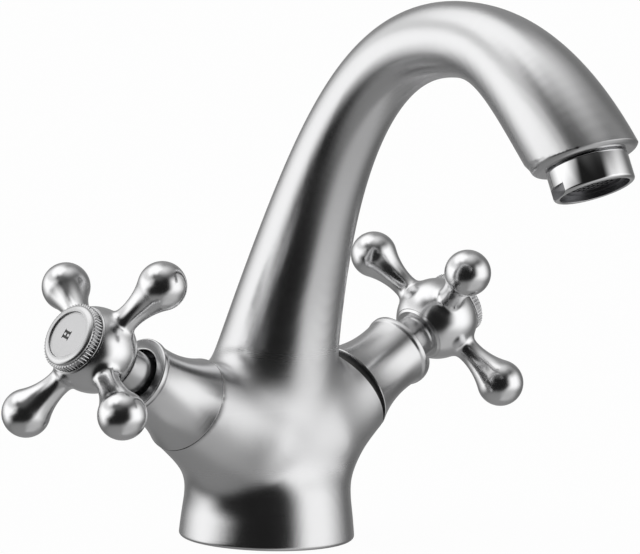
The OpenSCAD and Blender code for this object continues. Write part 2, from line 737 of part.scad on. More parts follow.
module index_ring() {
    r = ring_d / 2;
    dome_r = r - knurl_depth;
    valley_r = dome_r - fine_cut / 2;
    rim_r = plate_d / 2 + fit_gap + rim_w;
    dome = [for (i = [0 : arc_steps]) let (a = 90 * i / arc_steps)
        [rim_r + (dome_r - rim_r) * cos(a), hub_front_dist + knurl_h + (ring_h - knurl_h) * sin(a)]];
    color(satin) difference() {
        union() {
            rotate_extrude()
                polygon(concat([[0, hub_front_dist], [dome_r, hub_front_dist]], dome, [[0, ring_end]]));
            translate([0, 0, hub_front_dist + fine_cut]) linear_extrude(knurl_h - 1.5 * fine_cut)
                polygon([for (i = [0 : 2 * knurls - 1])
                    let (q = i % 2 == 0 ? r : valley_r, a = 180 * i / knurls) q * [cos(a), sin(a)]]);
            along(hub_front_dist - stem_h, hub_front_dist + over, stem_d / 2);
        }
        along(hub_front_dist - stem_h - over, ring_end + over, stem_d / 2 - stem_wall);
        along(plate_face - plate_h, ring_end + over, plate_d / 2 + fit_gap);
    }
}

// The letters are simple grooves: the width of the H, and the angle that the C covers
letter_aspect = 0.72;
letter_arc = 260;
module letter_hot() {
    w = letter_h * letter_aspect;
    for (side = [-1, 1]) translate([side * (w - letter_w) / 2, 0, 0])
        cube([letter_w, letter_h, 2 * letter_depth], center = true);
    cube([w, letter_w, 2 * letter_depth], center = true);
}

module letter_cold() {
    rotate((360 - letter_arc) / 2) rotate_extrude(angle = letter_arc)
        translate([letter_h / 2 - letter_w, -letter_depth]) square([letter_w, 2 * letter_depth]);
}

module index_plate() {
    color(satin) difference() {
        along(plate_face - plate_h, plate_face, plate_d / 2);
        translate([0, 0, plate_face]) children();
    }
}

tap_body();
base_gasket();
aerator_housing();
aerator_washer();
aerator_insert();
aerator_mesh();

on_hot() shroud();  // hot_shroud
on_hot() cartridge_body();  // hot_cartridge_body
on_hot() cartridge_oring();  // hot_cartridge_oring
on_hot() seat_seal();  // hot_seat_seal
on_hot() fixed_disc();  // hot_fixed_disc
on_hot() thrust_washer();  // hot_thrust_washer
on_hot() moving_disc();  // hot_moving_disc
on_hot() spindle(hot_turn);  // hot_spindle
on_hot() spindle_oring();  // hot_spindle_oring
on_hot() spindle_clip();  // hot_spindle_clip
on_hot() stem_sleeve();  // hot_stem_sleeve
on_hot() rotate(-hot_turn) handle();  // hot_handle
on_hot() handle_screw();  // hot_handle_screw
on_hot() index_ring();  // hot_index_ring
on_hot() index_plate() rotate(hot_letter_turn) letter_hot();  // hot_index_plate

on_cold() shroud();  // cold_shroud
on_cold() cartridge_body();  // cold_cartridge_body
on_cold() cartridge_oring();  // cold_cartridge_oring
on_cold() seat_seal();  // cold_seat_seal
on_cold() fixed_disc();  // cold_fixed_disc
on_cold() thrust_washer();  // cold_thrust_washer
on_cold() moving_disc();  // cold_moving_disc
on_cold() spindle(cold_turn);  // cold_spindle
on_cold() spindle_oring();  // cold_spindle_oring
on_cold() spindle_clip();  // cold_spindle_clip
on_cold() stem_sleeve();  // cold_stem_sleeve
on_cold() rotate(-cold_turn) handle();  // cold_handle
on_cold() handle_screw();  // cold_handle_screw
on_cold() index_ring();  // cold_index_ring
on_cold() index_plate() mirror([0, 1, 0])  // cold_index_plate
    rotate(cold_letter_turn) letter_cold();
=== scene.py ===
import math
import bpy
from mathutils import Matrix, Vector


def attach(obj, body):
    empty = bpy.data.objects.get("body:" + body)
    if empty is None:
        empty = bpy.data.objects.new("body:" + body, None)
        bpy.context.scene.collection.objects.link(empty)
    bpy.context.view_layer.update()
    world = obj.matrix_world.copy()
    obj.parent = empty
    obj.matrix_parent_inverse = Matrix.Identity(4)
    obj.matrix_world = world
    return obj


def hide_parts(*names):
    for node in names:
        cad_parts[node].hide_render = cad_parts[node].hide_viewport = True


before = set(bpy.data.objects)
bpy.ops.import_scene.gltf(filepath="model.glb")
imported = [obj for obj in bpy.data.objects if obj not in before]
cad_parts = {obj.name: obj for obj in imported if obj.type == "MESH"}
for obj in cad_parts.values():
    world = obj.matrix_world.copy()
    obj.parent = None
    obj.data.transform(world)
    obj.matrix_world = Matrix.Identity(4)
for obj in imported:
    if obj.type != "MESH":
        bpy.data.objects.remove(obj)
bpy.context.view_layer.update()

# A piece is shaped in millimetres and brought to metres when it is put in its place
mm = 0.001
mergeGap = 0.0005   # points nearer than this become one
print("tap: frame loaded with", len(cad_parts), "nodes")


# Working in Blender, step by step

def selectOnly(piece):
    if bpy.context.object and bpy.context.object.mode != "OBJECT":
        bpy.ops.object.mode_set(mode="OBJECT")
    bpy.ops.object.select_all(action="DESELECT")
    piece.select_set(True)
    bpy.context.view_layer.objects.active = piece


def newPiece(name):
    piece = bpy.context.object
    piece.name = name
    piece.data.name = name
    return piece


def edit(piece):
    selectOnly(piece)
    bpy.ops.object.mode_set(mode="EDIT")
    bpy.ops.mesh.select_mode(type="VERT")
    bpy.ops.mesh.select_all(action="SELECT")


def tidyMesh(piece):
    edit(piece)
    bpy.ops.mesh.remove_doubles(threshold=mergeGap)
    bpy.ops.mesh.normals_make_consistent(inside=False)
    bpy.ops.object.mode_set(mode="OBJECT")


def modify(piece, kind, **settings):
    selectOnly(piece)
    step = piece.modifiers.new(kind.lower(), kind)
    for setting, value in settings.items():
        setattr(step, setting, value)
    bpy.ops.object.modifier_apply(modifier=step.name)


def combine(piece, tool, operation):
    modify(piece, "BOOLEAN", operation=operation, object=tool, solver="MANIFOLD")
    bpy.data.objects.remove(tool, do_unlink=True)


def copyOf(piece, name):
    selectOnly(piece)
    bpy.ops.object.duplicate()
    return newPiece(name)


def put(piece, place):
    selectOnly(piece)
    piece.matrix_world = place @ piece.matrix_world
    bpy.ops.object.transform_apply(location=True, rotation=True, scale=True)
    return piece


# A place given in metres, for a piece still in millimetres
def inMillimetres(place):
    return Matrix.Scale(1 / mm, 4) @ place @ Matrix.Scale(mm, 4)


def toMetres(piece, place=Matrix()):
    return put(piece, place @ Matrix.Scale(mm, 4))


def cut(piece, tool, place=Matrix()):
    combine(piece, put(tool, place), "DIFFERENCE")


def shade(piece, angle=32):
    selectOnly(piece)
    bpy.ops.object.shade_smooth_by_angle(angle=math.radians(angle))


# An outline is a list of (radius, distance) or (radius, distance, corner radius)
def softened(points, arcSteps=5):
    line = []
    for i, point in enumerate(points):
        here = Vector(point[:2])
        if len(point) < 3:
            line.append(here)
            continue
        back = (Vector(points[i - 1][:2]) - here).normalized()
        ahead = (Vector(points[(i + 1) % len(points)][:2]) - here).normalized()
        half = back.angle(ahead) / 2
        centre = here + (back + ahead).normalized() * point[2] / math.sin(half)
        first = here + back * point[2] / math.tan(half) - centre
        last = here + ahead * point[2] / math.tan(half) - centre
        for k in range(arcSteps + 1):
            line.append(centre + first.lerp(last, k / arcSteps).normalized() * point[2])
    return line


# A turned piece: one point is extruded along the outline, then spun about the Z axis
def turned(name, outline, steps=96, ring=False):
    bpy.ops.object.select_all(action="DESELECT")
    bpy.ops.mesh.primitive_plane_add(size=1)
    piece = newPiece(name)
    edit(piece)
    bpy.ops.mesh.merge(type="CENTER")
    bpy.ops.transform.translate(value=(outline[0][0], 0, outline[0][1]))
    line = list(outline) + ([outline[0]] if ring else [])
    for a, b in zip(line, line[1:]):
        step = (b[0] - a[0], 0, b[1] - a[1])
        bpy.ops.mesh.extrude_region_move(TRANSFORM_OT_translate={"value": step})
    bpy.ops.mesh.select_all(action="SELECT")
    bpy.ops.mesh.spin(steps=steps, angle=2 * math.pi, center=(0, 0, 0), axis=(0, 0, 1))
    tidyMesh(piece)
    return piece


# The flat face and the rounded edge that a tool leaves, from the middle out
def roundedRim(radius, edge, steps, swell=0):
    rim = [(0, 0), (radius - edge, 0)]
    for i in range(1, steps + 1):
        turn = math.radians(90 * i / steps)
        rim.append((radius - edge + (edge + swell) * math.sin(turn), edge - edge * math.cos(turn)))
    return rim


def weigh(piece, name, share):
    group = piece.vertex_groups.new(name=name)
    for vertex in piece.data.vertices:
        amount = share(vertex.co)
        if amount > 0:
            group.add([vertex.index], amount, "REPLACE")


def smooth(piece, rounds, **settings):
    modify(piece, "SMOOTH", factor=0.5, iterations=rounds, **settings)


# Melts parts into one casting: joined, remeshed and smoothed, then drawn back onto the parts wherever
# the smoothing sank below them, so that only the inner corners fill up, and settled once more
def cast(name, parts, melt, share, calm=None):
    core = parts[0]
    for part in parts[1:]:
        combine(core, part, "UNION")
    piece = copyOf(core, name)
    modify(piece, "REMESH", mode="VOXEL", voxel_size=melt["voxel"], adaptivity=0)
    weigh(piece, "soft", share)
    smooth(piece, melt["rounds"], vertex_group="soft")
    modify(piece, "SHRINKWRAP", target=core, wrap_method="NEAREST_SURFACEPOINT", wrap_mode="OUTSIDE")
    smooth(piece, melt["settle"])
    smooth(piece, melt["softSettle"], vertex_group="soft")
    if calm:
        weigh(piece, "calm", calm)
        smooth(piece, melt["calmSettle"], vertex_group="calm")
    piece.vertex_groups.clear()
    bpy.data.objects.remove(core, do_unlink=True)
    return piece


def fade(value, start, end):
    t = min(max((value - start) / (end - start), 0), 1)
    return t * t * (3 - 2 * t)


# Camera, at the photograph's place
view = {"place": (-817.63, -864.90, 209.55), "yaw": -44.026, "pitch": 6.459, "roll": 1.612, "lens": 237.93,
        "sensor": 36, "near": 0.05, "far": 60}
yaw, pitch, roll = (math.radians(view[k]) for k in ("yaw", "pitch", "roll"))
back = Vector((math.sin(yaw) * math.cos(pitch), -math.cos(yaw) * math.cos(pitch), math.sin(pitch)))
level = Vector((math.cos(yaw), math.sin(yaw), 0))
upright = back.cross(level)
right = math.cos(roll) * level + math.sin(roll) * upright
up = math.cos(roll) * upright - math.sin(roll) * level
bpy.ops.object.select_all(action="DESELECT")
bpy.ops.object.camera_add()
camera = bpy.context.object
camera.name = "camera"
cameraTurn = Matrix((right, up, back)).transposed().to_4x4()
camera.matrix_world = Matrix.Translation(Vector(view["place"]) * mm) @ cameraTurn
camera.data.lens = view["lens"]
camera.data.sensor_width = view["sensor"]
camera.data.clip_start = view["near"]
camera.data.clip_end = view["far"]
bpy.context.scene.camera = camera
print("tap: camera set")


# Shader maths: a socket that can be added, multiplied and divided like a number
class Wire:
    def __init__(self, paint, socket):
        self.paint = paint
        self.socket = socket

    def maths(self, operation, *values):
        return self.paint.node("ShaderNodeMath", {"operation": operation}, dict(enumerate(values)))["Value"]

    def __add__(self, other):
        return self.maths("ADD", self, other)

    __radd__ = __add__

    def __sub__(self, other):
        return self.maths("SUBTRACT", self, other)

    def __rsub__(self, other):
        return self.maths("SUBTRACT", other, self)

    def __mul__(self, other):
        return self.maths("MULTIPLY", self, other)

    __rmul__ = __mul__

    def __truediv__(self, other):
        return self.maths("DIVIDE", self, other)


class Paint:
    def __init__(self, tree):
        self.tree = tree
        tree.nodes.clear()

    # One node: its type, its settings, and the values or links of its sockets
    def node(self, kind, settings=None, sockets=None):
        made = self.tree.nodes.new(kind)
        for setting, value in (settings or {}).items():
            if setting == "stops":
                ramp = made.color_ramp
                while len(ramp.elements) < len(value):
                    ramp.elements.new(0.5)
                for element, (at, tone) in zip(ramp.elements, value):
                    element.position = at
                    element.color = grey(tone)
            elif setting == "blend":
                made.color_ramp.interpolation = value
            else:
                setattr(made, setting, value)
        for name, value in (sockets or {}).items():
            if isinstance(value, Wire):
                self.tree.links.new(value.socket, made.inputs[name])
            else:
                made.inputs[name].default_value = value
        outputs = {}
        for socket in made.outputs:
            if socket.enabled and socket.name not in outputs:
                outputs[socket.name] = Wire(self, socket)
        return outputs

    def band(self, value, low, high):
        return self.node("ShaderNodeMapRange", {"interpolation_type": "SMOOTHSTEP"},
                         {"Value": value, "From Min": low, "From Max": high})["Result"]

    def ramp(self, value, stops, blend="EASE"):
        return self.node("ShaderNodeValToRGB", {"stops": stops, "blend": blend}, {"Fac": value})["Color"]

    def noise(self, vector, scale, detail=2, rough=0.5):
        return self.node("ShaderNodeTexNoise", {"noise_dimensions": "3D"},
                         {"Vector": vector, "Scale": scale, "Detail": detail, "Roughness": rough})["Fac"]

    # The colour inputs of a Mix node are its sockets 6 and 7
    def mix(self, factor, a, b):
        return self.node("ShaderNodeMix", {"data_type": "RGBA"}, {"Factor": factor, 6: a, 7: b})["Result"]

    def dot(self, a, b):
        return self.node("ShaderNodeVectorMath", {"operation": "DOT_PRODUCT"}, {0: a, 1: b})["Value"]

    def bump(self, relief):
        return self.node("ShaderNodeBump", None, {"Strength": 1, "Distance": mm, "Height": relief})["Normal"]


def newMaterial(name):
    material = bpy.data.materials.new(name)
    material.use_nodes = True
    return material, Paint(material.node_tree)


def grey(tone):
    return (tone, tone, tone, 1)


def finishWith(paint, sockets):
    shader = paint.node("ShaderNodeBsdfPrincipled", None, sockets)["BSDF"]
    paint.node("ShaderNodeOutputMaterial", None, {"Surface": shader})


# Distance along the brushed direction: a direction in space, or the attribute of the casting
def along(paint, place, axis):
    if axis is None:
        return paint.node("ShaderNodeAttribute", {"attribute_name": "brush"})["Fac"]
    return paint.dot(place, axis)


# Satin metal: hair-fine lines run round the piece, cloudy patches change the polish,
# and a few longer scratches catch the light. Between two heights, coarse adds to the roughness
def satin(name, look, axis, coarse=None):
    material, paint = newMaterial(name)
    place = paint.node("ShaderNodeTexCoord")["Object"]
    travel = along(paint, place, axis)
    parts = paint.node("ShaderNodeSeparateXYZ", None, {"Vector": place})

    def lines(across, length):
        stretched = {"X": parts["X"] * length, "Y": parts["Y"] * length, "Z": travel * across}
        return paint.noise(paint.node("ShaderNodeCombineXYZ", None, stretched)["Vector"], 1, 3, 0.6)

    hair = lines(look["hairs"], look["hairs"] / look["hairLength"])
    scratch = lines(look["scratches"], look["scratches"] / look["scratchLength"])
    deep = paint.band(scratch, *look["deep"])
    cloud = paint.noise(place, look["clouds"], 2)
    tone = paint.mix(cloud * 0.5 + hair * 0.5, grey(look["dark"]), look["pale"])
    spread = look["roughSpread"]
    rough = look["rough"] + (cloud - 0.5) * spread + (hair - 0.5) * spread - deep * look["scratchShine"]
    if coarse:
        low, high, extra = coarse
        rough = rough + paint.band(parts["Z"], *low) * (1 - paint.band(parts["Z"], *high)) * extra
    relief = hair * look["hairDepth"] + deep * look["scratchDepth"]
    finishWith(paint, {"Base Color": tone, "Metallic": 1, "Roughness": rough, "Normal": paint.bump(relief)})
    return material


# Polished metal: clear, with faint wiping haze and tiny pits
def polished(name, look):
    material, paint = newMaterial(name)
    place = paint.node("ShaderNodeTexCoord")["Object"]
    haze = paint.noise(place, look["haze"], 3, 0.6)
    fine = paint.noise(place, look["fine"], 2)
    swell = paint.noise(place, look["swell"], 1)
    tone = paint.mix(haze, grey(look["dark"]), look["pale"])
    rough = look["rough"] + (haze - 0.5) * look["hazeDepth"] + fine * look["fineRough"]
    relief = fine * look["fineDepth"] + swell * look["swellDepth"]
    finishWith(paint, {"Base Color": tone, "Metallic": 1, "Roughness": rough, "Normal": paint.bump(relief)})
    return material


grainSpread = 0.12   # how far the grain of a dull material changes its roughness


# Dull materials of the hidden pieces and of the letters. The letters' near-black also paints shade into the
# joints, and the mesh steel paints shade into the aerator's bore and flats
def plain(name, look):
    material, paint = newMaterial(name)
    place = paint.node("ShaderNodeTexCoord")["Object"]
    cloud = paint.noise(place, look["clouds"], 3)
    grain = paint.noise(place, look["grain"], 2)
    tone = paint.mix(cloud, (*look["dark"], 1), (*look["pale"], 1))
    rough = look["rough"] + (grain - 0.5) * grainSpread
    finishWith(paint, {"Base Color": tone, "Metallic": look["metal"], "Roughness": rough,
                       "Normal": paint.bump(grain * look["depth"])})
    return material


# Each valve, in millimetres along its axis and out from it
valve = {"height": 23.9, "tilt": 27.3, "bossEnd": 36.1, "bossRadius": 13.9, "flareRadius": 80,
         "flareStart": 8, "flareEnd": 24.5, "frontGrowth": 10.5, "bossExtra": 4, "seatRadius": 4,
         "seatHeight": 7.5, "chamberRadius": 10.53, "chamberFloor": 14, "ledgeRadius": 11.46, "ledgeDepth": 2}
seam = {"deep": 0.45, "wide": 0.18}                   # the fine joint between boss and cover
groove = {"floor": 12.6, "width": 3.0, "lean": 1.5}   # the wider one under the cold cover
paintedShadeJoint = {"from": 32, "around": 1.5, "near": 0.1, "facing": 0.9}   # which faces in both get painted shade
toolRadius, toolPast = 20, 6                          # how far the cutting tools reach past the metal
touchGap = 0.02                                       # the gap where two pieces touch
tilt = math.radians(90 - valve["tilt"])
lift = Matrix.Translation((0, 0, valve["height"] * mm))
# Each valve's +Z is its axis and its +X points up
valvePlace = {
    "hot": lift @ Matrix.Rotation(-tilt, 4, "Y"),
    "cold": lift @ Matrix.Rotation(tilt, 4, "Y") @ Matrix.Rotation(math.pi, 4, "Z"),
}
valveAxis = {side: tuple(place.to_3x3().col[2]) for side, place in valvePlace.items()}

satinLook = {"hairs": 9000, "hairLength": 60, "scratches": 1600, "scratchLength": 40, "deep": (0.62, 0.75),
             "clouds": 60, "dark": 0.60, "pale": (0.70, 0.70, 0.71, 1), "rough": 0.23, "roughSpread": 0.10,
             "scratchShine": 0.06, "hairDepth": 0.014, "scratchDepth": 0.003}
polishLook = {"haze": 120, "fine": 2600, "swell": 90, "dark": 0.68, "pale": (0.80, 0.80, 0.81, 1),
              "rough": 0.19, "hazeDepth": 0.08, "fineRough": 0.02, "fineDepth": 0.0004, "swellDepth": 0.02}
# The casting is rougher from the first heights to the second, in metres, and by how much
castCoarse = ((0.018, 0.028), (0.044, 0.060), 0.13)
castSatin = satin("castSatin", satinLook, None, castCoarse)
shroudSatin = {side: satin(side + "ShroudSatin", satinLook, valveAxis[side]) for side in valveAxis}
indexSatin = {side: satin(side + "IndexSatin", dict(satinLook, rough=0.26, hairDepth=0.01), valveAxis[side])
              for side in valveAxis}
plateGrain = (0.1, 0.98, 0.2)
plateSatin = satin("plateSatin", dict(satinLook, rough=0.34, hairDepth=0.008, dark=0.60), plateGrain)
chrome = polished("chrome", dict(polishLook, rough=0.07, hazeDepth=0.05))
handlePolish = polished("handlePolish", polishLook)
sleeveSatin = polished("sleeveSatin", dict(polishLook, dark=0.42, pale=(0.52, 0.52, 0.53, 1), rough=0.24))
# Near-black enamel for the letters, also put on the boss joints and the cold groove as painted shade
enamelAndPaintedShade = plain("letterEnamelAndPaintedShade", {"clouds": 300, "grain": 4000, "dark": (0.03, 0.03, 0.03),
                                "pale": (0.06, 0.06, 0.06), "rough": 0.5, "depth": 0.002, "metal": 0})
dullMaterials = {
    "brass": plain("machinedBrass", {"clouds": 200, "grain": 3000, "dark": (0.55, 0.38, 0.14),
                                     "pale": (0.72, 0.52, 0.22), "rough": 0.3, "depth": 0.004, "metal": 1}),
    "nickel": plain("dullNickel", {"clouds": 200, "grain": 3000, "dark": (0.14, 0.14, 0.15),
                                   "pale": (0.22, 0.22, 0.23), "rough": 0.35, "depth": 0.004, "metal": 1}),
    "rubber": plain("blackRubber", {"clouds": 150, "grain": 2500, "dark": (0.012, 0.012, 0.012),
                                    "pale": (0.03, 0.03, 0.03), "rough": 0.6, "depth": 0.01, "metal": 0}),
    "ceramic": plain("whiteCeramic", {"clouds": 180, "grain": 2500, "dark": (0.72, 0.70, 0.65),
                                      "pale": (0.82, 0.81, 0.77), "rough": 0.22, "depth": 0.001, "metal": 0}),
    "plastic": plain("whitePlastic", {"clouds": 150, "grain": 2500, "dark": (0.42, 0.43, 0.44),
                                      "pale": (0.55, 0.56, 0.57), "rough": 0.4, "depth": 0.003, "metal": 0}),
    "mesh": plain("meshSteelAndPaintedShade", {"clouds": 400, "grain": 4000, "dark": (0.20, 0.20, 0.21),
                                "pale": (0.32, 0.32, 0.33), "rough": 0.35, "depth": 0.003, "metal": 1}),
    "spring": plain("springSteel", {"clouds": 200, "grain": 3000, "dark": (0.36, 0.36, 0.37),
                                    "pale": (0.48, 0.48, 0.50), "rough": 0.28, "depth": 0.003, "metal": 1}),
}
print("tap: materials made")


def finished(piece, body, slot, material, *nodes):
    piece.data.materials.clear()
    piece.data.materials.append(material)
    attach(piece, body)
    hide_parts(*nodes)
    print("tap:", piece.name, len(piece.data.polygons), "faces")
    return piece


# Gives a second material to the faces that the test picks, by how far each lies along an axis and out from it
def secondMaterial(piece, material, root, axis, test):
    if material.name not in piece.data.materials:
        piece.data.materials.append(material)
    for face in piece.data.polygons:
        reach = face.center - root
        far = reach.dot(axis)
        if test(far / mm, (reach - axis * far).length / mm, face.normal.dot(axis)):
            face.material_index = 1


# The casting: foot, two bosses and the swan neck
foot = {"radius": 25, "edge": 1.2, "waist": 23.4, "waistHeight": 16, "sweep": 0.35, "pull": 4, "extra": 3,
        "domeRise": 8, "gasket": {"inner": 19.6, "outer": 22.6, "deep": 2.5},
        "holes": ((-9.5, 0, 5, 12), (9.5, 0, 5, 12), (0, 12, 4, 14)),   # x, y, radius and depth
        "chamfer": 0.5, "drillTip": 0.4}
neck = {"start": (1.8, 49.5), "lean": 14.5, "radius": 18, "taper": 9.1, "pull": 61, "crown": (71.3, 146),
        "crownRadius": 10.35, "pullBack": 37.3, "pullFront": 16.2, "tipTurn": 139.8, "tipPull": 31,
        "tipRadius": 14.45, "fullness": 0.9, "spare": 5.5, "root": 27, "rootRadius": 18.8, "rootSwell": 0.1,
        "steps": (8, 46, 24), "roundness": 34, "lipEdge": 2.2, "lipClear": 0.1, "lipLean": 0.27,
        "oval": 1.035, "lipTool": {"flare": 1.2, "rise": 4, "past": 8, "deep": 14}, "brushFade": (50, 62)}
melt = {"voxel": 0.8, "rounds": 950, "settle": 3, "softSettle": 24, "calmSettle": 120,
        "bottom": (6, 14), "top": (62, 84), "reach": (23, 32)}
outlet = {"reach": 121.6, "height": 109.4, "tilt": 25.2, "show": 8.1, "ring": 11.1, "edge": 0.9, "mouth": 9.5,
          "mouthEdge": 0.35, "flats": 20.6, "flatHeight": 3.0, "flatTurn": -22, "thread": 8.95, "sunk": 7.1,
          "bore": 8.1, "stop": 7.5, "stopUnder": 1.4, "stopTop": 2, "collar": 8.9, "topGap": 0.3,
          "topEdge": 0.25, "topLead": (0.5, 0.9), "collarEdge": 0.3, "paintedShadeMouth": 0.05, "paintedShadeFlat": 0.1,
          "waterway": 6.4, "chamfer": 0.5, "threadSpare": 1.5, "waterwayDeep": 8}
outletTilt = math.radians(outlet["tilt"])
lip = Vector((-outlet["reach"] + outlet["show"] * math.sin(outletTilt),
              outlet["height"] + outlet["show"] * math.cos(outletTilt)))
outletPlace = Matrix.Translation((0, lip.x * mm, lip.y * mm)) @ Matrix.Rotation(-outletTilt, 4, "X")


def heading(degrees):
    return Vector((-math.sin(math.radians(degrees)), math.cos(math.radians(degrees))))


def cubic(a, b, c, d, t):
    return (1 - t) ** 3 * a + 3 * (1 - t) ** 2 * t * b + 3 * (1 - t) * t ** 2 * c + t ** 3 * d


def stretch(points, radii, steps):
    return [(cubic(*points, i / steps), cubic(*radii, i / steps)) for i in range(steps)]


# The neck's centres and radii, from the root in the foot over the crown to the tip
def neckStations():
    begin = Vector((-neck["start"][0], neck["start"][1]))
    root = Vector((0, neck["root"]))
    crown = Vector((-neck["crown"][0], neck["crown"][1]))
    slope = (neck["radius"] - neck["taper"]) / neck["pull"]
    rootPull = (begin.y - root.y) / 3
    end = lip + neck["spare"] * heading(neck["tipTurn"])
    backwards = Vector((1, 0))
    rootSteps, riseSteps, fallSteps = neck["steps"]
    rootWide, wide = neck["rootRadius"], neck["radius"]
    crownWide, tipWide = neck["crownRadius"], neck["tipRadius"]
    stations = stretch(
        (root, root + Vector((0, rootPull)), begin - rootPull * heading(neck["lean"]), begin),
        (rootWide, rootWide, wide + slope * rootPull + neck["rootSwell"], wide), rootSteps)
    stations += stretch(
        (begin, begin + neck["pull"] * heading(neck["lean"]), crown + neck["pullBack"] * backwards, crown),
        (wide, neck["taper"], crownWide, crownWide), riseSteps)
    stations += stretch(
        (crown, crown - neck["pullFront"] * backwards, end - neck["tipPull"] * heading(neck["tipTurn"]), end),
        (crownWide, crownWide, tipWide + neck["fullness"], tipWide), fallSteps)
    return stations + [(end, tipWide)]


def makeNeck(stations):
    curve = bpy.data.curves.new("neck", "CURVE")
    curve.dimensions = "3D"
    curve.bevel_depth = 1
    curve.bevel_resolution = neck["roundness"]
    curve.use_fill_caps = True
    line = curve.splines.new("POLY")
    line.points.add(len(stations) - 1)
    for point, (centre, radius) in zip(line.points, stations):
        point.co = (0, centre.x, centre.y, 1)
        point.radius = radius
    piece = bpy.data.objects.new("neck", curve)
    bpy.context.scene.collection.objects.link(piece)
    selectOnly(piece)
    bpy.ops.object.convert(target="MESH")
    piece = newPiece("neck")
    tidyMesh(piece)
    return piece


def makeFoot():
    radius, waist, sweep = foot["radius"], foot["waist"], foot["sweep"]
    edge, height, pull = foot["edge"], foot["waistHeight"], foot["pull"]
    side = [(cubic(radius, radius - sweep, waist + sweep, waist, i / 12),
             cubic(edge, edge + pull, height - pull, height, i / 12)) for i in range(13)]
    dome = []
    for i in range(17):
        turn = math.pi / 2 * i / 16
        dome.append((waist * math.cos(turn), height + foot["domeRise"] * math.sin(turn)))
    return turned("foot", [(0, -foot["extra"]), (radius, -foot["extra"])] + side + dome, 128)


def makeBoss(side):
    flare = []
    end, radius, extra = valve["bossEnd"], valve["bossRadius"], valve["bossExtra"]
    first, last = math.radians(valve["flareStart"]), math.radians(valve["flareEnd"])
    for i in range(13):
        turn = first + (last - first) * i / 12
        flare.append((radius + valve["flareRadius"] * (math.cos(first) - math.cos(turn)),
                      end - valve["flareRadius"] * (math.sin(turn) - math.sin(first))))
    outline = [(0, end + extra), (radius, end + extra)] + flare + [(flare[-1][0], -extra), (0, -extra)]
    piece = turned(side + "Boss", outline, 112)
    # The flare grows up and down into neck and foot, and less to the front and back
    for vertex in piece.data.vertices:
        wide = math.hypot(vertex.co.x, vertex.co.y)
        slim = radius + valve["frontGrowth"] * (1 - vertex.co.z / end)
        if wide > slim > radius:
            vertex.co.y *= slim / wide
    return put(piece, inMillimetres(valvePlace[side]))


# Where the casting's inner corners fill up, from 0 to 1
def castingShare(at):
    return fade(at.z, *melt["bottom"]) * (1 - fade(at.z, *melt["top"]))


# Where they settle further: everywhere but on the bosses
def calmShare(at):
    root = Vector((0, 0, valve["height"]))
    reach = max((at - root).dot(Vector(axis)) for axis in valveAxis.values())
    return castingShare(at) * (1 - fade(reach, *melt["reach"]))


# Each boss is faced and its chamber is bored, and the cold joint is a wider groove, most of all at the top
def cutBosses(piece):
    end, radius = valve["bossEnd"], valve["bossRadius"]
    seat, chamber, ledge = valve["seatRadius"], valve["chamberRadius"], valve["ledgeRadius"]
    rim, face, past = radius - seam["deep"], end - seam["wide"], end + toolPast
    for side in valvePlace:
        tool = turned("bossTool", [
            (0, valve["seatHeight"]), (seat, valve["seatHeight"]), (seat, valve["chamberFloor"]),
            (chamber, valve["chamberFloor"]), (chamber, end - valve["ledgeDepth"]),
            (ledge, end - valve["ledgeDepth"]), (ledge, end), (rim, end), (rim, face), (toolRadius, face),
            (toolRadius, past), (0, past)])
        cut(piece, tool, inMillimetres(valvePlace[side]))
    floor, wide = groove["floor"], groove["width"]
    tool = turned("grooveTool", [(floor, toolPast), (toolRadius, toolPast),
                                 (toolRadius, -wide), (floor, -wide)], 112, True)
    lean = Matrix.Translation((0, 0, end)) @ Matrix.Rotation(math.atan(groove["lean"] / radius), 4, "Y")
    cut(piece, tool, inMillimetres(valvePlace["cold"]) @ lean)


# The underside: a rounded edge, the gasket's groove, and the holes for the supplies and the fixing
def cutUnderside(piece):
    radius, edge, gasket, chamfer = foot["radius"], foot["edge"], foot["gasket"], foot["chamfer"]
    outside = [(radius + 1, 2 * edge), (2 * toolRadius, 2 * edge), (2 * toolRadius, -9), (0, -9)]
    cut(piece, turned("footTool", roundedRim(radius, edge, 8, touchGap) + outside, 128))
    inner, outer, deep = gasket["inner"], gasket["outer"], gasket["deep"]
    cut(piece, turned("gasketTool", [(inner, -1), (outer, -1), (outer, deep), (inner, deep)], 96, True))
    for x, y, radius, depth in foot["holes"]:
        tool = turned("holeTool", [(0, -1), (radius + chamfer, -1), (radius + chamfer, 0), (radius, chamfer),
                                   (radius, depth), (0, depth + radius * foot["drillTip"])], 48)
        cut(piece, tool, Matrix.Translation((x, y, 0)))


# The tip is cut square to the water's path, with a rounded rim, and threaded for the aerator
def cutTip(piece):
    edge, radius = neck["lipEdge"], neck["tipRadius"] + neck["lipClear"]
    flare, rise, past, deep = (neck["lipTool"][k] for k in ("flare", "rise", "past", "deep"))
    outside = [(radius + flare, edge + rise), (radius + past, edge + rise),
               (radius + past, -deep), (0, -deep)]
    tool = turned("lipTool", roundedRim(radius, edge, 10) + outside, 128)
    # Above its rim the tip leans back with the neck
    for vertex in tool.data.vertices:
        vertex.co.y += max(vertex.co.z - edge, 0) * neck["lipLean"]
    oval = Matrix.Scale(neck["oval"], 4, (0, 1, 0))
    cut(piece, tool, inMillimetres(outletPlace) @ oval)
    thread, chamfer, waterway = outlet["thread"], outlet["chamfer"], outlet["waterway"]
    step, deep = outlet["sunk"] + outlet["threadSpare"], outlet["sunk"] + outlet["waterwayDeep"]
    tool = turned("outletTool", [(0, -3), (thread + chamfer, -3), (thread + chamfer, 0), (thread, chamfer),
                                 (thread, step), (waterway, step), (waterway, deep), (0, deep)])
    cut(piece, tool, inMillimetres(outletPlace))


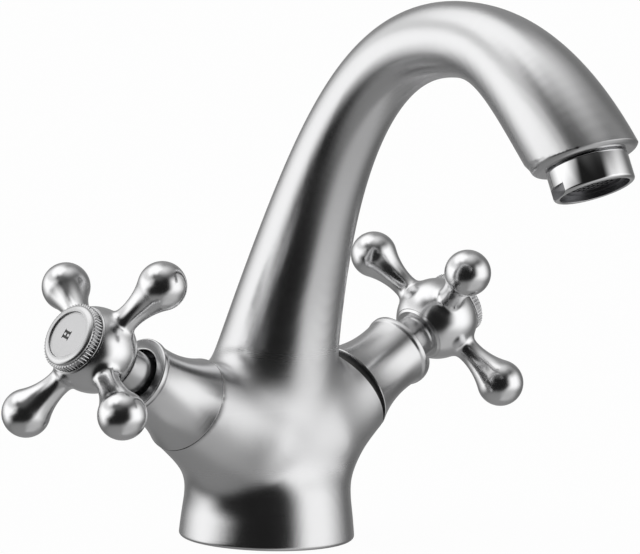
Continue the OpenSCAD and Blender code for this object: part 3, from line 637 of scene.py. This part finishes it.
# How far along the casting each point lies, for the brushed lines that run round it
def brushCasting(piece, stations):
    rootSteps = neck["steps"][0]
    travel = [station[0].y for station in stations]
    for i in range(rootSteps + 1, len(stations)):
        travel[i] = travel[i - 1] + (stations[i][0] - stations[i - 1][0]).length
    brush = piece.data.attributes.new("brush", "FLOAT", "POINT")
    neckLine = stations[rootSteps:]
    start, full = neck["brushFade"]
    for vertex in piece.data.vertices:
        at = Vector((vertex.co.y, vertex.co.z))
        value = at.y
        if at.y > start:
            i = rootSteps + min(range(len(neckLine)), key=lambda k: (neckLine[k][0] - at).length_squared)
            ahead = stations[min(i + 1, len(stations) - 1)][0] - stations[i - 1][0]
            value = travel[i] + (at - stations[i][0]).dot(ahead.normalized())
            value = value * fade(at.y, start, full) + at.y * (1 - fade(at.y, start, full))
        brush.data[vertex.index].value = value * mm


def makeCasting():
    stations = neckStations()
    piece = cast("castBody", [makeNeck(stations), makeFoot(), makeBoss("hot"), makeBoss("cold")],
                 melt, castingShare, calmShare)
    cutBosses(piece)
    cutUnderside(piece)
    cutTip(piece)
    brushCasting(piece, stations)
    toMetres(piece)
    shade(piece, 40)
    finished(piece, "body", "satin_nickel", castSatin, "tap_body")

    # The joints and the mouths of the chambers get the near-black enamel as painted shade
    def inPaintedShadeJoint(far, out, facing):
        near, around = paintedShadeJoint["near"], valve["bossRadius"] + paintedShadeJoint["around"]
        inside = paintedShadeJoint["from"] < far < valve["bossEnd"] + near and out < around
        return inside and (facing > paintedShadeJoint["facing"] or out < groove["floor"] + near)

    for axis in valveAxis.values():
        secondMaterial(piece, enamelAndPaintedShade, lift.translation, Vector(axis), inPaintedShadeJoint)
    return piece


makeCasting()


# The shrouds: hollow covers with a rounded lip. The cold one has a short skirt over the groove
shroud = {"start": 36.1, "mouth": 57.8, "mouthRadius": 10.9, "mouthEdge": 0.45, "hole": 7.6, "holeEdge": 0.35,
          "lip": 2.4, "lipRise": 1.25, "waist": 0.4, "curve": 36, "edge": 0.35,
          "skirt": {"hot": 0, "cold": 1.1}, "clear": 0.05,
          "hollow": [(9.25, 49.6), (9.25, 41.25), (11.12, 41.25), (11.12, 37.85), (12.05, 37.85)]}


def hollowArc(a, b, radius, steps):
    a, b = Vector(a), Vector(b)
    chord = b - a
    side = Vector((chord.y, -chord.x)).normalized()
    centre = (a + b) / 2 + side * math.sqrt(radius ** 2 - (chord.length / 2) ** 2)
    first, last = a - centre, b - centre
    return [centre + first.lerp(last, i / steps).normalized() * radius for i in range(steps + 1)]


def makeShroud(side):
    mouthRadius, mouth, rise = shroud["mouthRadius"], shroud["mouth"], shroud["lipRise"]
    waist = mouthRadius - shroud["waist"]
    lipStart = mouth - shroud["lip"]
    base = shroud["start"] + touchGap
    skirt, edge, radius = shroud["skirt"][side], shroud["edge"], valve["bossRadius"]
    hole, hollow = shroud["hole"], shroud["hollow"]
    low = base - skirt
    outline = [(radius - edge, low), (radius - edge * 0.3, low + edge * 0.3)]
    outline += hollowArc((radius, low + edge), (waist, lipStart), shroud["curve"], 20)
    outline += [(waist + shroud["waist"] * (1 - math.cos(math.pi * i / 8)) / 2, lipStart + rise * i / 8)
                for i in range(1, 8)]
    inside = [(hole, mouth, shroud["holeEdge"]), (hole, hollow[0][1])] + hollow + [(hollow[-1][0], base)]
    outline += softened([(mouthRadius, lipStart + rise), (mouthRadius, mouth, shroud["mouthEdge"])] + inside)
    if skirt:
        outline += [(groove["floor"] + shroud["clear"], base), (groove["floor"] + shroud["clear"], low)]
    piece = turned(side + "Shroud", [tuple(p) for p in outline], 112, True)
    toMetres(piece, valvePlace[side])
    shade(piece)
    return finished(piece, "body", "satin_shroud", shroudSatin[side], side + "_shroud")


# The sleeves between shroud and hub, with a fine turned ring near the hub
sleeve = {"from": 52.54, "to": 66, "radius": 6.2, "hole": 4.8, "edge": 0.2, "lowEdge": 0.3,
          "ringDeep": 0.12, "ringSlope": 0.2, "ringFrom": 1.5, "ringTo": 0.7}


def makeSleeve(side):
    radius, hole, edge, low, high = (sleeve[k] for k in ("radius", "hole", "edge", "from", "to"))
    first, last, slope = high - sleeve["ringFrom"], high - sleeve["ringTo"], sleeve["ringSlope"]
    ringRadius = radius - sleeve["ringDeep"]
    outline = softened([(hole, low, edge), (radius, low, sleeve["lowEdge"]), (radius, first),
                        (ringRadius, first + slope), (ringRadius, last - slope), (radius, last),
                        (radius, high, edge), (hole, high, edge)])
    piece = turned(side + "Sleeve", outline, 96, True)
    toMetres(piece, valvePlace[side])
    shade(piece)
    return finished(piece, side + "_knob", "polished_chrome", sleeveSatin, side + "_stem_sleeve")


# The cross handles: a ball hub with four arms that end in balls
handle = {"centre": 75, "hub": 12, "back": 9, "front": 7.1, "arms": 4, "reach": 26.8, "ball": 6.8,
          "neck": 3.5, "curve": 19, "sunk": 2, "turn": {"hot": -38.3, "cold": 48.1},
          "seat": (9.3, 9.85, 0.55),                                      # radii and depth of the ring's seat
          "rear": (8.2, 7.6, 0.5),                                        # and of the edge behind
          "bore": [(4.05, -2.95), (2.2, -2.95), (2.2, -1), (6.05, -1)],   # for the spindle and its screw
          "melt": {"voxel": 0.42, "rounds": 90, "settle": 4, "softSettle": 32,
                   "from": (8, 11), "to": (15, 19)}}


def makeArm(number):
    ball, thin, curve, reach = (handle[k] for k in ("ball", "neck", "curve", "reach"))
    start = handle["hub"] - handle["sunk"]
    span = math.sqrt((ball + curve) ** 2 - (thin + curve) ** 2)
    touch = math.acos(span / (ball + curve))
    first = math.asin((start - (reach - span)) / curve)
    last = math.pi / 2 - touch
    outline = [(0, start)]
    for i in range(25):
        turn = first + (last - first) * i / 24
        outline.append((thin + curve * (1 - math.cos(turn)), reach - span + curve * math.sin(turn)))
    for i in range(1, 29):
        turn = (math.pi - touch) * (1 - i / 28)
        outline.append((ball * math.sin(turn), reach + ball * math.cos(turn)))
    piece = turned("arm", outline, 80)
    turn = 2 * math.pi * number / handle["arms"]
    return put(piece, Matrix.Rotation(turn, 4, "Z") @ Matrix.Rotation(math.pi / 2, 4, "Y"))


def handleShare(at):
    return fade(at.length, *handle["melt"]["from"]) * (1 - fade(at.length, *handle["melt"]["to"]))


def makeHandle(side):
    bpy.ops.object.select_all(action="DESELECT")
    bpy.ops.mesh.primitive_uv_sphere_add(segments=112, ring_count=56, radius=handle["hub"])
    hub = newPiece("hub")
    arms = [makeArm(k) for k in range(handle["arms"])]
    piece = cast(side + "Handle", [hub] + arms, handle["melt"], handleShare)
    front, back, bore = handle["front"], handle["back"], handle["bore"]
    (seat, rim, deep), (wide, slim, edge) = handle["seat"], handle["rear"]
    past, outside = 9, 14
    for outline in (
        [(0, front), (seat, front), (rim, front - deep), (outside, front - deep), (outside, front + past),
         (0, front + past)],
        [(0, -back - past), (outside, -back - past), (outside, -back + edge), (wide, -back + edge),
         (slim, -back), (0, -back)],
        [(0, -back - 1), (bore[0][0], -back - 1)] + bore + [(bore[-1][0], front + 1), (0, front + 1)],
    ):
        cut(piece, turned("hubTool", outline))
    toMetres(piece, valvePlace[side] @ Matrix.Translation((0, 0, handle["centre"] * mm))
             @ Matrix.Rotation(math.radians(handle["turn"][side]), 4, "Z"))
    shade(piece, 30)
    return finished(piece, side + "_knob", "polished_handle", handlePolish, side + "_handle")


# The index rings, knurled over a thin flange, and their plates
index = {"start": 82.1, "ring": 9.6, "height": 3.8, "band": 2.7, "knurls": 60, "depth": 0.75,
         "profile": (0, 0.12, 0.62, 1, 0.62, 0.12), "flange": 9.8, "flangeHeight": 0.25, "plate": 6.8,
         "plateDepth": 0.5, "plateHeight": 0.8, "rim": 0.28, "stem": 6, "stemHole": 4.8, "stemDepth": 3.4,
         "edge": 0.1, "stemEdge": 0.3, "clear": 0.05, "shoulder": 0.02, "knurlSunk": 0.06, "knurlWall": 0.6,
         "knurlLow": 0.4, "plateLine": (0.5, 0.42, 0.34), "plateLineDeep": 0.05, "plateEdge": 0.12,
         "letter": 2.8, "stroke": 0.58, "engraved": 0.14, "offset": 0.7, "turn": {"hot": -12, "cold": 175},
         "letterWidth": 0.74, "opening": 0.5,           # shares of the letter's height
         "bar": 1.25, "serif": 2.3, "serifThin": 0.55}   # shares of the stroke


def indexPlace(side):
    return valvePlace[side] @ Matrix.Translation((0, 0, index["start"] * mm))


def makeKnurls():
    profile = index["profile"]
    bpy.ops.object.select_all(action="DESELECT")
    bpy.ops.mesh.primitive_circle_add(vertices=index["knurls"] * len(profile), radius=index["ring"],
                                      fill_type="NGON", location=(0, 0, index["flangeHeight"]))
    piece = newPiece("knurls")
    for vertex in piece.data.vertices:
        depth = index["depth"] * profile[vertex.index % len(profile)]
        vertex.co *= (index["ring"] - depth) / index["ring"]
    edit(piece)
    rise = index["band"] - index["knurlLow"]
    bpy.ops.mesh.extrude_region_move(TRANSFORM_OT_translate={"value": (0, 0, rise)})
    tidyMesh(piece)
    return put(piece, Matrix())


def makeIndexRing(side):
    outer = index["ring"] - index["depth"] + index["knurlSunk"]
    rim, plate = index["plate"] + index["rim"], index["plate"] + index["clear"]
    band, height, flange, edge, low = (index[k] for k in ("band", "height", "flange", "edge", "flangeHeight"))
    outline = [(flange - edge, 0), (flange, edge), (flange, low), (outer, low + edge), (outer, band - edge)]
    wide, high = outer - index["shoulder"] - rim, height - band
    for i in range(13):
        turn = math.radians(90 * i / 12)
        outline.append((rim + wide * math.cos(turn), band + high * math.sin(turn)))
    seat = height - index["plateDepth"] - index["plateHeight"]
    stem, hole, deep = index["stem"], index["stemHole"], index["stemDepth"]
    outline += softened([(plate, height), (plate, seat), (hole, seat), (hole, -deep),
                         (stem, -deep, index["stemEdge"]), (stem, 0)])
    piece = turned(side + "IndexRing", [tuple(p) for p in outline], 120, True)
    knurls = makeKnurls()
    core = index["plate"] + index["knurlWall"]
    cut(knurls, turned("knurlCore", [(0, -1), (core, -1), (core, 3), (0, 3)], 96))
    combine(piece, knurls, "UNION")
    toMetres(piece, indexPlace(side))
    shade(piece, 28)
    return finished(piece, side + "_knob", "satin_index", indexSatin[side], side + "_index_ring")


def letterBar(width, height, x, y):
    bpy.ops.object.select_all(action="DESELECT")
    bpy.ops.mesh.primitive_cube_add(size=1, location=(x, y, 0))
    piece = newPiece("stroke")
    piece.scale = (width, height, 2 * index["engraved"])
    return put(piece, Matrix())


# An H with feet at its bars' ends for hot, a C for cold
def makeLetter(side):
    tall, stroke, deep = index["letter"], index["stroke"], index["engraved"]
    if side == "cold":
        outline = [(tall / 2 - stroke, -deep), (tall / 2, -deep), (tall / 2, deep), (tall / 2 - stroke, deep)]
        letter = turned("letter", outline, 72, True)
        cut(letter, letterBar(tall / 2, tall * index["opening"], tall / 2, 0))
        return letter
    wide, serif, thin = tall * index["letterWidth"], stroke * index["serif"], stroke * index["serifThin"]
    letter = letterBar(wide - stroke, stroke, 0, 0)
    for x in (-1, 1):
        middle = x * (wide / 2 - stroke / 2)
        combine(letter, letterBar(stroke * index["bar"], tall, middle, 0), "UNION")
        for y in (-1, 1):
            combine(letter, letterBar(serif, thin, middle, y * (tall / 2 - stroke / 4)), "UNION")
    return letter


def makePlate(side):
    top = index["height"] - index["plateDepth"]
    radius, low = index["plate"], top - index["plateHeight"]
    first, middle, last = (radius - inwards for inwards in index["plateLine"])
    piece = turned(side + "IndexPlate", softened([
        (0, top), (first, top), (middle, top - index["plateLineDeep"]), (last, top),
        (radius, top, index["plateEdge"]), (radius, low), (0, low)]))
    turn = Matrix.Rotation(math.radians(index["turn"][side]), 4, "Z")
    cut(piece, makeLetter(side), Matrix.Translation((0, index["offset"], top)) @ turn)
    toMetres(piece, indexPlace(side))
    shade(piece, 28)
    finished(piece, side + "_knob", "index_plate", plateSatin, side + "_index_plate")
    floor = indexPlace(side) @ Vector((0, 0, (top - index["engraved"]) * mm))
    secondMaterial(piece, enamelAndPaintedShade, floor, Vector(valveAxis[side]),
                   lambda far, out, facing: abs(far) < touchGap)
    return piece


for side in valvePlace:
    makeShroud(side)
    makeSleeve(side)
    makeHandle(side)
    makeIndexRing(side)
    makePlate(side)


# The aerator's ring, with two spanner flats
def makeAerator():
    show, ring, mouth, height = outlet["show"], outlet["ring"], outlet["mouth"], outlet["flatHeight"]
    bore, stop, collar, gap = outlet["bore"], outlet["stop"], outlet["collar"], outlet["topGap"]
    top, under = -show + outlet["stopTop"], -show + outlet["stopUnder"]
    (leadStart, leadEnd), sunk = outlet["topLead"], outlet["sunk"]
    piece = turned("aeratorRing", softened([
        (bore, top), (stop, top), (stop, under), (mouth, under), (mouth, -show, outlet["mouthEdge"]),
        (ring, -show, outlet["edge"]), (ring, -gap, outlet["topEdge"]), (ring - leadStart, -gap),
        (ring - leadEnd, 0), (collar, 0), (collar, sunk, outlet["collarEdge"]), (bore, sunk)]), 112, True)
    deep, wide, past = 10, 30, 2
    for turn in (0, 180):
        bpy.ops.object.select_all(action="DESELECT")
        bpy.ops.mesh.primitive_cube_add(size=1, location=((outlet["flats"] + deep) / 2, 0,
                                                          -show + (height - past) / 2))
        tool = newPiece("flatTool")
        tool.scale = (deep, wide, height + past)
        cut(piece, tool, Matrix.Rotation(math.radians(outlet["flatTurn"] + turn), 4, "Z"))
    toMetres(piece, outletPlace)
    shade(piece)
    finished(piece, "body", "polished_chrome", chrome, "aerator_housing")

    # The bore and the flats get the dark mesh steel as painted shade
    def inPaintedShadeBoreOrFlat(far, out, facing):
        near = outlet["paintedShadeFlat"]
        onFlat = out < ring - near and abs(facing) < near and far < height - show
        return onFlat or out < mouth + outlet["paintedShadeMouth"]

    secondMaterial(piece, dullMaterials["mesh"], outletPlace.translation, outletPlace.to_3x3().col[2], inPaintedShadeBoreOrFlat)
    return piece


makeAerator()

# The pieces that the CAD already shapes right get their own materials
carried = {
    "base_gasket": "rubber", "aerator_washer": "rubber", "aerator_insert": "plastic", "aerator_mesh": "mesh",
}
for side in valvePlace:
    carried.update({
        side + "_cartridge_body": "nickel", side + "_cartridge_oring": "rubber",
        side + "_seat_seal": "rubber", side + "_fixed_disc": "ceramic",
        side + "_moving_disc": "ceramic", side + "_thrust_washer": "brass",
        side + "_spindle": "brass", side + "_spindle_oring": "rubber", side + "_spindle_clip": "spring",
        side + "_handle_screw": "spring",
    })
for name, kind in carried.items():
    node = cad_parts[name]
    for slot in node.material_slots:
        slot.material = dullMaterials[kind]
print("tap: pieces made")


# The floor is pale, shows white behind the tap, and keeps its shadow
floorLook = {"size": 60, "drop": 0.0002, "tone": 0.9, "glow": 0.97}


def makeFloor():
    bpy.ops.object.select_all(action="DESELECT")
    bpy.ops.mesh.primitive_plane_add(size=floorLook["size"])
    floor = newPiece("floor")
    floor.location.z = -floorLook["drop"]
    material, paint = newMaterial("paleFloor")
    rays = paint.node("ShaderNodeLightPath")
    seen = rays["Is Camera Ray"].maths("MAXIMUM", rays["Is Camera Ray"], rays["Is Glossy Ray"])
    seen = seen.maths("MAXIMUM", seen, rays["Is Transmission Ray"])
    matt = paint.node("ShaderNodeBsdfDiffuse", None, {"Color": grey(floorLook["tone"])})["BSDF"]
    glow = paint.node("ShaderNodeEmission", None, {"Color": grey(1), "Strength": 1.0})["Emission"]
    share = seen * floorLook["glow"]
    both = paint.node("ShaderNodeMixShader", None, {"Fac": share, 1: matt, 2: glow})["Shader"]
    paint.node("ShaderNodeOutputMaterial", None, {"Surface": both})
    floor.data.materials.append(material)
    floor.visible_glossy = False


# The light comes from the world: pale above, grey below, soft boxes round the tap and dark between them.
# A box: degrees round the tap, 0 at the camera and + to its right, then degrees above the floor, its
# strength, and below which height its first and last side lean, and how far for each degree
studio = {
    "levels": [(-90, 0.32), (-50, 0.28), (-32, 0.18), (0, 0.17), (40, 0.22), (60, 0.50), (75, 0.80),
               (90, 1.05)],
    "behind": 0.33, "behindAround": (140, 176), "behindHeight": (-60, -30, 50, 80), "leanDepth": 20,
    "boxes": [
        ((-120, -80, 80, 120), (-44, -26, 30, 78), 0.015, (-5, 0.9, 0.9)),
        ((-185, -135, -62, -28), (22, 54, 125, 135), 1.3, None),
        ((-165, -105, -74, -32), (-42, -14, 60, 90), 1.4, (6, -0.9, 1.3)),
        ((-150, -115, -60, -35), (12, 26, 32, 44), 0.9, None),
        ((-88, -50, -30, 20), (22, 40, 48, 62), 0.12, None),
        ((0, 45, 90, 150), (-100, -95, -46, -20), 0.55, (-5, 0.45, 0.45)),
        ((30, 60, 82, 136), (-50, -4, 20, 50), 1.35, (-8, 0.9, 0.9)),
    ],
}


def makeStudio():
    world = bpy.data.worlds.new("studio")
    bpy.context.scene.world = world
    world.use_nodes = True
    paint = Paint(world.node_tree)
    way = paint.node("ShaderNodeTexCoord")["Generated"]

    def towards(direction):
        return paint.dot(way, direction)

    # 1 between the two middle values, fading to 0 at the outer ones
    def span(value, edges, other=None):
        return paint.band(value, edges[0], edges[1]) * (1 - paint.band(other or value, edges[2], edges[3]))

    toRight, toCamera, upwards = towards(tuple(level)), towards((back.x, back.y, 0)), towards((0, 0, 1))
    azimuth = toRight.maths("ARCTAN2", toRight, toCamera) * math.degrees(1)
    elevation = upwards.maths("ARCSINE", upwards) * math.degrees(1)
    stops = [(height / 180 + 0.5, strength) for height, strength in studio["levels"]]
    light = paint.ramp(elevation / 180 + 0.5, stops, "LINEAR")
    behind = paint.band(azimuth.maths("ABSOLUTE", azimuth), *studio["behindAround"])
    light = paint.mix(behind * span(elevation, studio["behindHeight"]), light, grey(studio["behind"]))
    for around, height, strength, lean in studio["boxes"]:
        first = last = azimuth
        if lean:
            below = lean[0] - elevation
            below = below.maths("MAXIMUM", below, 0)
            below = below.maths("MINIMUM", below, studio["leanDepth"])
            first, last = azimuth + below * lean[1], azimuth + below * lean[2]
        light = paint.mix(span(first, around, last) * span(elevation, height), light, grey(strength))
    rays = paint.node("ShaderNodeLightPath")
    glow = paint.node("ShaderNodeBackground", None, {"Color": light, "Strength": 1})["Background"]
    white = paint.node("ShaderNodeBackground", None, {"Color": grey(1), "Strength": 1})["Background"]
    seen = rays["Is Camera Ray"]
    both = paint.node("ShaderNodeMixShader", None, {"Fac": seen, 1: glow, 2: white})["Shader"]
    paint.node("ShaderNodeOutputWorld", None, {"Surface": both})


makeFloor()
makeStudio()
bpy.context.scene.view_settings.view_transform = "Standard"
print("tap: studio ready")
